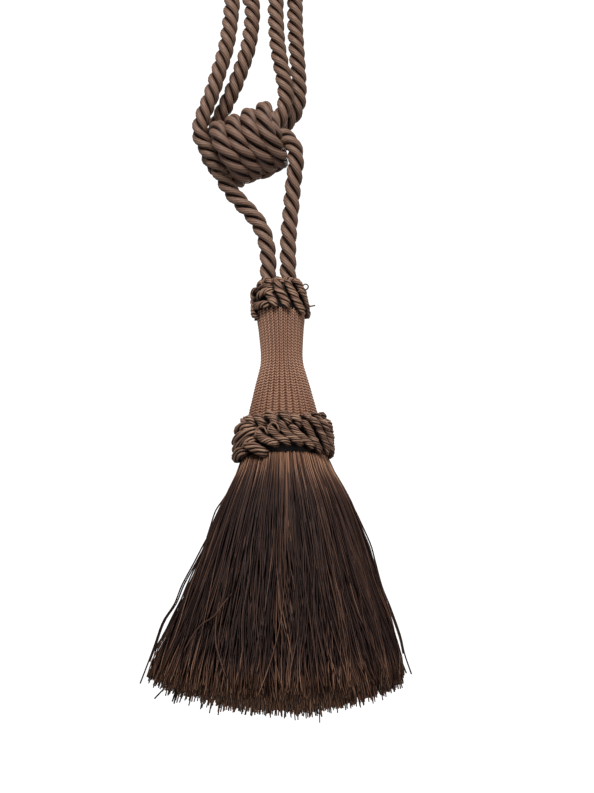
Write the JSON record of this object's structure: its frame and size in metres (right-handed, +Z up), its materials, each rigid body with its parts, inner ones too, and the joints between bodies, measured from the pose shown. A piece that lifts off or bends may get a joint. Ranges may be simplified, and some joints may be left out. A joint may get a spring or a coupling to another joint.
{
  "type": "curtain tieback tassel",
  "caption": "Curtain tieback tassel: doubled twisted rope with a wound knot, a knit-covered turned head between two looped ruffs, and a full thread skirt.",
  "frame": {"origin": "inner top of the two rope loops, where a hook carries the tieback", "axes": "+Z up along the hanging tassel, +X to the right of the front, front faces -Y"},
  "size_m": [0.1447, 0.1444, 0.4584],
  "materials": {
    "rope": "silky twisted rayon yarn",
    "knot": "silky twisted rayon yarn",
    "ruff": "thread-wound loops",
    "head": "fine knitted cover",
    "skirt": "loose silky threads"
  },
  "bodies": {
    "root": {"rope_front_loop": "rope", "rope_back_loop": "rope", "rope_right_leg": "rope", "knot": "knot", "ruff_top": "ruff", "head": "head", "ruff_low": "ruff", "skirt": "skirt"}
  },
  "joints": []
}
